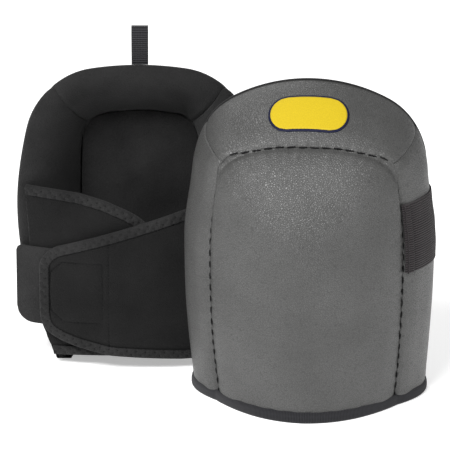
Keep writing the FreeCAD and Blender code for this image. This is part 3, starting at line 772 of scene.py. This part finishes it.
def slant(kind, x, z):
    """The root of a strap follows the leaning rim, so its lower part starts nearer the middle."""
    _, root, _, _, way = STRAPS[kind]
    near = np.clip(1 - np.abs(x - root) / 70, 0, 1) ** 2
    return x + way * near * np.interp(z, [0, 22, 60, 86, 125], [22, 14, 7, 3, 0])


def strap_spots(kind, x, z, lift):
    """Points at x and z on the curve of a strap, lifted off its middle."""
    radius = STRAPS[kind][0]
    spots = np.column_stack([x, bend(x, radius), z])
    return spots + outward(x, radius) * np.asarray(lift)[:, None]


def spread(u):
    """Positions along a strap, closer together at the rounded end."""
    return np.where(u < 0.75, u * 1.12, 0.84 + (1 - (1 - (u - 0.75) / 0.25) ** 2) * 0.16)


# corners (x, z) of the stitched frame over the hook tab, and the upright row beside it
BOX = [(27, 36), (55, 36), (64.5, 44), (66, 58), (64.5, 74), (56, 82), (27, 82), (27, 36)]
ROW_AT = 22.5


def strap_face(kind, side):
    """The cloth of a strap between its bound edges; side 1 faces away from the leg."""
    _, root, tip, edges, way = STRAPS[kind]

    def surface(u, v):
        x = root + (tip - way * 0.8 - root) * spread(u)
        low, top = edges(x)
        z = low + 0.8 + (top - low - 1.6) * v
        x = slant(kind, x, z)
        gap = np.minimum(np.minimum(z - low, top - z), np.abs(tip - x))
        puff = 1.05 + 0.75 * smooth_step(gap, 5.0, 12.0) - 0.35 * np.exp(-((gap - 6.2) / 1.0) ** 2)
        puff += 0.18 * ripple(x + 0.4 * z, 23.0, 8) * smooth_step(gap, 6, 16)
        if kind == "long":
            box = box_gap(x, z)
            puff += -0.55 * np.exp(-(box / 1.1) ** 2)
            puff += -0.3 * np.exp(-((x - ROW_AT) / 0.9) ** 2) * (z < 100)
        return strap_spots(kind, x, z, side * puff)
    return surface


def box_gap(x, z):
    """Distance to the stitched frame over the hook tab."""
    best = np.full(len(x), 99.0)
    for (x0, z0), (x1, z1) in zip(BOX[:-1], BOX[1:]):
        dx, dz = x1 - x0, z1 - z0
        f = np.clip(((x - x0) * dx + (z - z0) * dz) / (dx * dx + dz * dz), 0, 1)
        best = np.minimum(best, np.hypot(x - x0 - f * dx, z - z0 - f * dz))
    return best


def edge_line(kind, count=260):
    """The outline of a strap from the lower root round the tip to the upper root, evenly spaced."""
    _, root, tip, edges, way = STRAPS[kind]
    f = np.linspace(0, 1, 600) ** 0.6
    x = root + (tip - root) * f
    low, top = edges(x)
    rise = np.linspace(low[-1], top[-1], 60)[1:-1]
    line = np.column_stack([np.concatenate([x, np.full(58, tip), x[::-1]]),
                            np.concatenate([low, rise, top[::-1]])])
    line[:, 0] = slant(kind, line[:, 0], line[:, 1])
    even_line = even(line, np.linspace(0, 1, count))
    for _ in range(3):
        even_line[1:-1] = (even_line[:-2] + 2 * even_line[1:-1] + even_line[2:]) / 4
    ahead = np.gradient(even_line, axis=0)
    ahead /= np.linalg.norm(ahead, axis=1)[:, None]
    inward = np.column_stack([-ahead[:, 1], ahead[:, 0]]) * way
    return even_line, inward, length_along(line)[-1]


def edge_spots(kind, f, inset, lift):
    """Points at shares f along a strap's edge, moved in from it and lifted off the cloth."""
    line, inward, _ = edge_line(kind)
    at = np.linspace(0, 1, len(line))
    x = np.interp(f, at, line[:, 0]) + inset * np.interp(f, at, inward[:, 0])
    z = np.interp(f, at, line[:, 1]) + inset * np.interp(f, at, inward[:, 1])
    return strap_spots(kind, x, z, np.broadcast_to(lift, x.shape).astype(float))


# the folded edge tape in section: inset from the edge, lift
FOLD = np.array([(5.9, 1.2), (5.2, 1.9), (3.0, 2.15), (1.0, 2.1), (0.1, 1.5), (-0.35, 0.6), (-0.4, 0),
                 (-0.35, -0.6), (0.1, -1.5), (1.0, -2.1), (3.0, -2.15), (5.2, -1.9), (5.9, -1.2)])


def edge_tape(kind):
    """The tape folded over the free edges of a strap."""
    at = np.linspace(0, 1, len(FOLD))
    count = int(edge_line(kind)[2] / ZIG_PITCH)

    def surface(u, v):
        inset = np.interp(v, at, FOLD[:, 0])
        lift = np.interp(v, at, FOLD[:, 1])
        near = np.abs((u * count + 0.5) % 2 - 1)
        low_row = np.exp(-((near * ZIG_PITCH) ** 2 + (inset - ZIG_ROWS[0]) ** 2) / 1.9)
        high_row = np.exp(-(((1 - near) * ZIG_PITCH) ** 2 + (inset - ZIG_ROWS[1]) ** 2) / 1.9)
        pinch = 1 - 0.6 * (low_row + high_row) * (np.abs(lift) > 1)
        return edge_spots(kind, u, inset, lift * 1.08 * pinch)
    return surface


def zigzag(kind, pad, name):
    """Slanted stitches between two rows along the tape, on both faces."""
    runs = []
    count = int(edge_line(kind)[2] / ZIG_PITCH)
    for k in range(count):
        f = (k + 0.5) / count
        g = min((k + 1.35) / count, 1)
        near, far = ZIG_ROWS if k % 2 == 0 else ZIG_ROWS[::-1]
        for side in (1, -1):
            a = edge_spots(kind, np.array([f]), near, side * 1.75)[0]
            b = edge_spots(kind, np.array([g]), near + (far - near) * 0.75, side * 1.9)[0]
            out = outward(a[:1], STRAPS[kind][0])[0] * side
            runs.append((a, b, out))
    return stitches(name, pad, runs, 0.5)


def strap_cloth(pad, kind, name):
    """Both faces of a strap as one closed cloth."""
    faces = []
    for side in (1, -1):
        way = STRAPS[kind][4]
        faces.append(panel(name + "_side", pad, strap_face(kind, side), 120, 70, 0, -side * way))
    clean()
    for face in faces:
        face.select_set(True)
    bpy.context.view_layer.objects.active = faces[0]
    bpy.ops.object.join()
    cloth = bpy.context.object
    cloth.name = name
    cloth.data.name = name
    bpy.ops.object.mode_set(mode="EDIT")
    bpy.ops.mesh.select_all(action="DESELECT")
    bpy.ops.mesh.select_non_manifold()
    bpy.ops.mesh.bridge_edge_loops()
    bpy.ops.mesh.select_all(action="SELECT")
    bpy.ops.mesh.normals_make_consistent(inside=False)
    bpy.ops.object.mode_set(mode="OBJECT")
    clean()
    return cloth


# ------------------------------------------------------------------ building a pad
def line_runs(points, outs, pitch, length):
    """Even bars along a line of points, each with its outward direction."""
    steps = length_along(points)
    runs = []
    at = pitch * 0.4
    while at + length < steps[-1]:
        runs.append([np.array([np.interp(here, steps, values[:, k]) for k in range(3)])
                     for here, values in ((at, points), (at + length, points),
                                          (at + length / 2, outs))])
        at += pitch
    return runs


def foot_tape(pad):
    """Tape folded round the lower edge of the shell, and its length."""
    low = station_shapes(pad)[2][0]
    # the tape in section: distance from the cover, height
    fall = np.array([(0.25, 7.2), (0.9, 7.0), (1.5, 5.0), (1.6, 2.0), (1.2, 0.5), (0.0, 0.05)])

    def outer(u):
        """Plan line of the shell's foot from rim to rim."""
        wing = 0.26
        x = np.zeros_like(u)
        y = np.zeros_like(u)
        for sign, pick in ((-1, u < wing), (1, u > 1 - wing)):
            f = u[pick] / wing if sign < 0 else (1 - u[pick]) / wing
            spots = shell(pad, np.full(pick.sum(), 0.0 if sign < 0 else 1.0), 1 - f)
            x[pick], y[pick] = spots[:, 0], spots[:, 1]
        pick = (u >= wing) & (u <= 1 - wing)
        x[pick] = low * (2 * (u[pick] - wing) / (1 - 2 * wing) - 1)
        y[pick] = -front_depth(pad, x[pick], np.zeros(pick.sum()) + 3)
        return x, y

    dense = np.column_stack(outer(np.linspace(0, 1, 900)))
    length = length_along(dense)[-1]
    at = np.linspace(0, 1, 400)
    line = even(dense, at)
    for _ in range(6):
        line[1:-1] = (line[:-2] + 2 * line[1:-1] + line[2:]) / 4
    ahead = np.gradient(line, axis=0)
    ahead /= np.linalg.norm(ahead, axis=1)[:, None]
    out = np.column_stack([ahead[:, 1], -ahead[:, 0]])
    down = np.linspace(0, 1, len(fall))

    def surface(u, v):
        d = np.interp(v, down, fall[:, 0])
        z = np.interp(v, down, fall[:, 1])
        px = np.interp(u, at, line[:, 0]) + d * np.interp(u, at, out[:, 0])
        py = np.interp(u, at, line[:, 1]) + d * np.interp(u, at, out[:, 1])
        z = z + 0.18 * np.sin(u * length / 2.2) * (z > 6)
        return np.column_stack([px, py, z])
    return surface, length


def sole(pad):
    """Underside of a pad, from the outer foot line to the cup."""
    edge = foot_tape(pad)[0]
    wide = PADS[pad]["rim_low"] - 9
    at = [0, 0.02, 0.24, 0.76, 0.98, 1]

    def surface(u, v):
        outside = edge(u, np.ones_like(u))
        inner = np.column_stack([np.interp(u, at, [-wide, -wide, -42, 42, wide, wide]),
                                 np.interp(u, at, [0, -1, -47, -47, -1, 0]),
                                 np.full_like(u, 0.05)])
        return outside * (1 - v[:, None]) + inner * v[:, None]
    return surface


BAND_LOW, BAND_WIDE = 106, 50
BADGE_STRAIGHT, BADGE_END = 15.0, 12.0      # half length of the straight part, radius of the ends


def band_surface(pad, lift, first, last):
    """A band over the right wing, first to last in millimetres from the front seam."""
    face = cover_face(pad, "right_wing")
    reach_end = SHELL_RUN * PADS[pad]["hide"]

    def surface(u, v):
        reach = first + (last - first) * u
        z = BAND_LOW + BAND_WIDE * v
        row = np.round(np.clip((reach + 1.2) / reach_end, 0.03, 0.99), 5)
        spots, out = outward_of(face, find_u(face, 2, z, row), row)
        over = np.clip(-1.2 - reach, 0, 20)[:, None]
        hold = smooth_step(reach, 0.0, 10.0)[:, None]
        out = out * hold + np.array([0.72, -0.69, 0]) * (1 - hold)
        rise = lift + 0.25 * ripple(z, 19.0, 3) * smooth_step(reach, 6, 14)
        return spots + out * rise[:, None] + over * np.array([-0.8, -0.35, 0])
    return surface


def badge_surface(pad, grow, lift):
    """A plain rounded bar printed on the sloping top panel."""
    face = cover_face(pad, "top")

    def surface(u, v):
        a = 2 * u - 1
        b = np.round(2 * v - 1, 5)
        x = a * (BADGE_STRAIGHT + np.sqrt(np.clip(1 - b ** 2, 0, 1)) * (BADGE_END + grow))
        row = np.round((0.37 - (BADGE_END + grow) / 59.0 * b) / PADS[pad]["hide"], 5)
        spots, out = outward_of(face, find_u(face, 0, x, row), row)
        return spots + out * lift
    return surface


FOAM_IN = 5.5      # how far the foam stays inside the covers


def foam_fit(pad, spots):
    """The foam pressed in so that it lies inside the covers everywhere."""
    x, y, z = spots.T
    q = np.round(np.clip(-y / wing_at(z), 0, 1) * 20) / 20
    turn = np.arctan2(x, z - 100)
    reach = np.hypot(x, z - 100)
    t = np.linspace(0, 1, 240)
    for level in np.unique(q):
        line = shell(pad, t, np.full(len(t), 1 - level))
        bearing = np.arctan2(line[:, 0], line[:, 2] - 100)
        limit = np.interp(turn, bearing, np.hypot(line[:, 0], line[:, 2] - 100), left=999,
                          right=999)
        pick = q == level
        reach[pick] = np.minimum(reach[pick], limit[pick] - FOAM_IN)
    x, z = reach * np.sin(turn), 100 + reach * np.cos(turn)
    y = y - 6.0 * smooth_step(y, -16.0, -3.0)
    return np.column_stack([x, np.maximum(y, FOAM_IN - front_depth(pad, x, z)), z])


def build_covers(pad, body, tag):
    """The covers outside, the lining of the cup, the tape round the foot and the sole."""
    seed = 11 if pad == "front" else 12
    piece = panel(tag + "center_cover_skin", pad, front_panel(pad, seed), 170, 230)
    dress(piece, HIDE, body, "leatherette", tag + "center_cover")
    for name, (_, _, across) in WINGS.items():
        piece = panel(tag + name + "_cover_skin", pad, cover_face(pad, name), across, 72)
        dress(piece, HIDE, body, "leatherette", tag + name + "_cover")
    for side, across in (("left_wing", 150), ("top", 130), ("right_wing", 150)):
        start, end, _ = WINGS[side]
        name = side + "_liner"
        piece = panel(tag + name + "_skin", pad, cup_wall(pad, start, end, seed + 2 * across),
                      across, 80)
        dress(piece, LINER, body, "knit", tag + name)
    piece = panel(tag + "cup_liner_skin", pad, cup_floor(), 90, 150, outward=-1)
    dress(piece, LINER, body, "knit", tag + "cup_liner")

    edge, length = foot_tape(pad)
    tape = panel(tag + "bottom_binding_tape", pad, edge, 420, 12, 0.7, 1, (length, 9.0))
    under = panel(tag + "bottom_sole", pad, sole(pad), 160, 12, 0.5, 1, (length, 40.0))
    dress(tape, GROSGRAIN, body, "tape", tag + "bottom_binding")
    dress(under, GROSGRAIN, body, "tape")


def build_foam(pad, body, tag):
    for name in ("knee_foam", "top_foam", "right_wing_foam", "left_wing_foam", "cup_cushion"):
        foam = bpy.data.objects.new(tag + name + "_block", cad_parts[tag + name].data.copy())
        bpy.context.collection.objects.link(foam)
        clean()
        apply_modifier(foam, "melt", "REMESH", mode="VOXEL", voxel_size=0.004)
        apply_modifier(foam, "relax", "SMOOTH", iterations=6)
        apply_modifier(foam, "pull", "DISPLACE", strength=-0.0035, mid_level=0)
        spots = np.empty(len(foam.data.vertices) * 3, np.float32)
        foam.data.vertices.foreach_get("co", spots)
        local = foam_fit(pad, unstand(pad, spots.reshape(-1, 3).astype(float)))
        foam.data.vertices.foreach_set("co", stand(pad, local).astype(np.float32).ravel())
        smooth(foam.data)
        dress(foam, FOAM, body, "foam", tag + name)


def build_band_and_badge(pad, body, tag):
    band = panel(tag + "elastic_band_web", pad, band_surface(pad, 1.0, 1.0, 60.0), 60, 60, 1.0, 1,
                 (62.0, 50.0), True)
    dress(band, ELASTIC, body, "elastic", tag + "elastic_band")
    hem = panel(tag + "band_hem_web", pad, band_surface(pad, 2.3, -3.5, 4.5), 14, 60, 1.0, 1,
                (8.0, 50.0), True)
    dress(hem, ELASTIC, body, "elastic", tag + "band_hem")
    border = panel(tag + "badge_border", pad, badge_surface(pad, 1.5, 0.25), 40, 24, 0.3)
    dress(border, BORDER, body, "badge")
    badge = panel(tag + "badge_print", pad, badge_surface(pad, 0.0, 0.45), 40, 24, 0.3)
    dress(badge, PRINT, body, "badge", tag + "badge")


def build_seam_thread(pad, body, tag):
    """Long stitches down both side seams and along the top seam."""
    runs = []
    t = np.linspace(0.004, 0.318, 300)
    for tt in (t, 1 - t):
        spots = shell(pad, tt, np.zeros_like(tt))
        out = np.column_stack([np.sign(spots[:, 0]) * 0.75, -0.66 + 0 * tt, 0 * tt])
        runs += line_runs(spots + out * -0.5, out, STITCH_PITCH, 4.6)
    t = np.linspace(0.369, 0.631, 300)
    out = np.column_stack([0 * t, -0.66 + 0 * t, 0.75 + 0 * t])
    spots = shell(pad, t, np.zeros_like(t)) + out * -0.5
    spots[:, 2] += 0.5 * np.sin(t * GIRTH / STITCH_PITCH * TURN)
    runs += line_runs(spots, out, STITCH_PITCH, 6.4)
    thread = stitches(tag + "seam_thread", pad, runs, 0.55)
    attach(thread, body)


def stitched_row(spots, length):
    """Fine stitches through points on the outer face of a strap."""
    return line_runs(spots, outward(spots[:, 0], STRAP_R), FINE_PITCH, length)


def tab_frame():
    """The stitched frame over the hook tab and the upright row beside it."""
    corners = np.array([(x, 0, z) for x, z in BOX], float)
    dense = np.vstack([np.linspace(a, b, 40, endpoint=False)
                       for a, b in zip(corners[:-1], corners[1:])])
    dense = strap_spots("long", dense[:, 0], dense[:, 2], np.full(len(dense), 1.55))
    upright = strap_spots("long", np.full(60, ROW_AT), np.linspace(15, 101, 60), np.full(60, 1.7))
    return stitched_row(dense, 2.0) + stitched_row(upright, 1.8)


def build_strap(pad, kind, tape_steps, tape_side, hinge, runs):
    """Cloth, edge tape and stitches of a strap."""
    name = pad + "_" + kind + "_strap"
    start, end = stand(pad, np.array(hinge))
    cloth = strap_cloth(pad, kind, name + "_cloth")
    cloth.data.materials.append(STRAP_CLOTH)
    tape = panel(name + "_tape", pad, edge_tape(kind), tape_steps, 30, 0.6, tape_side,
                 (300.0, 12.0))
    tape.data.materials.append(EDGE_TAPE)
    zig = zigzag(kind, pad, name + "_zigzag")
    border = stitched_row(edge_spots(kind, np.linspace(0.01, 0.99, 300), 6.3, 1.75), 2.1)
    rows = stitches(name + "_stitching", pad, runs + border, 0.28)
    for item in (cloth, tape, zig, rows):
        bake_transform(item)
    return cloth, tape


def hook_tab(pad):
    def surface(u, v):
        reach = PADS[pad]["tab"]
        x = 23 + (reach - 23) * u
        low = 31 + (12 - np.sqrt(np.clip(144 - np.clip(x - reach + 12, 0, 12) ** 2, 0, None)))
        top = 90 - (4 - np.sqrt(np.clip(16 - np.clip(x - reach + 4, 0, 4) ** 2, 0, None)))
        z = low + (top - low) * v
        spots = np.column_stack([x, bend(x, STRAP_R - 3.2), z])
        return spots + outward(x, STRAP_R) * 0.8
    return surface


def build(pad):
    body, tag = pad + "_pad", pad + "_"
    build_covers(pad, body, tag)
    build_foam(pad, body, tag)
    build_band_and_badge(pad, body, tag)
    build_seam_thread(pad, body, tag)

    cloth, tape = build_strap(pad, "long", 560, -1, [[-26.0, 25.0, 60.0], [-2.0, 25.0, 60.0]],
                              tab_frame())
    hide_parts(tag + "long_strap_root", tag + "long_strap")
    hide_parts(tag + "long_strap_root_binding_top", tag + "long_strap_root_binding_foot",
                tag + "long_strap_binding")
    cloth, tape = build_strap(pad, "short", 400, 1, [[76.0, 6.0, 60.0], [62.0, 9.0, 60.0]], [])
    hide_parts(tag + "short_strap_root", tag + "short_strap")
    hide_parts(tag + "short_strap_binding")

    tab = panel(tag + "hook_tab_patch", pad, hook_tab(pad), 70, 56, 1.5, -1)
    tab.data.materials.append(HOOKS)
    start, end = stand(pad, np.array([[70.5, 9.0, 60.0], [76.0, 8.0, 60.0]]))
    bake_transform(tab)
    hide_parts(tag + "hook_tab_root", tag + "hook_tab")


build("rear")
build("front")


def hang_loop(u, v):
    """Webbing folded over above the top seam of the rear pad."""
    x = -7 + 12 * v
    way = np.array([(-0.9, 0), (-1.4, 5), (-2.6, 12), (-3.9, 20), (-3.6, 24), (-2.0, 26.4), (0, 27)])
    way = np.vstack([way, way[-2::-1] * [-1, 1]])
    y, z = even(way, u).T
    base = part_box("rear_hang_loop")[0].z * 1000
    return np.column_stack([x, -8 + y, base - 6.0 + z * 1.02])


piece = panel("rear_hang_loop_webbing", "rear", hang_loop, 90, 14, 1.3, 1, (58.0, 12.0))
dress(piece, WEBBING, "rear_hang_loop", "webbing", "rear_hang_loop")


# ------------------------------------------------------------------ floor, light and camera
bpy.context.scene.view_settings.view_transform = "Standard"
clean()
bpy.ops.mesh.primitive_plane_add(size=14, location=(0, 2, -0.0005))
floor = bpy.context.object
floor.name = "floor"
paper = bpy.data.materials.new("pale_floor")
paper.use_nodes = True
for label, value in (("Base Color", (0.92, 0.92, 0.92, 1)), ("Roughness", 0.9),
                     ("Emission Color", (1, 1, 1, 1)), ("Emission Strength", 0.40)):
    paper.node_tree.nodes["Principled BSDF"].inputs[label].default_value = value
floor.data.materials.append(paper)

world = bpy.data.worlds.new("studio")
bpy.context.scene.world = world
world.use_nodes = True
world.node_tree.nodes["Background"].inputs["Color"].default_value = (1, 1, 1, 1)
world.node_tree.nodes["Background"].inputs["Strength"].default_value = 0.34


def lamp(name, spot, aim, size, power):
    data = bpy.data.lights.new(name, "AREA")
    data.shape = "RECTANGLE"
    data.size = size[0]
    data.size_y = size[1]
    data.energy = power
    item = bpy.data.objects.new(name, data)
    item.location = spot
    item.rotation_euler = (Vector(aim) - Vector(spot)).to_track_quat("-Z", "Y").to_euler()
    bpy.context.collection.objects.link(item)


lamp("key", (-0.6, -1.3, 1.5), (0.02, 0, 0.12), (1.0, 0.6), 50)
lamp("side", (1.6, -0.5, 0.9), (0, 0, 0.12), (0.8, 1.2), 7)
lamp("back", (-0.6, 1.6, 1.6), (0, 0, 0.15), (1.4, 0.8), 12)

camera_data = bpy.data.cameras.new("camera")
camera = bpy.data.objects.new("camera", camera_data)
bpy.context.collection.objects.link(camera)
rise = math.radians(19)
reach = 3.0
seen = 0.324               # width of the view at the aim
aim = Vector((0.0012, -0.02, 0.1193))
camera.location = aim + Vector((0, -math.cos(rise), math.sin(rise))) * reach
camera.rotation_euler = (aim - camera.location).to_track_quat("-Z", "Y").to_euler()
camera_data.sensor_width = 36
camera_data.lens = 36 * reach / seen
bpy.context.scene.camera = camera
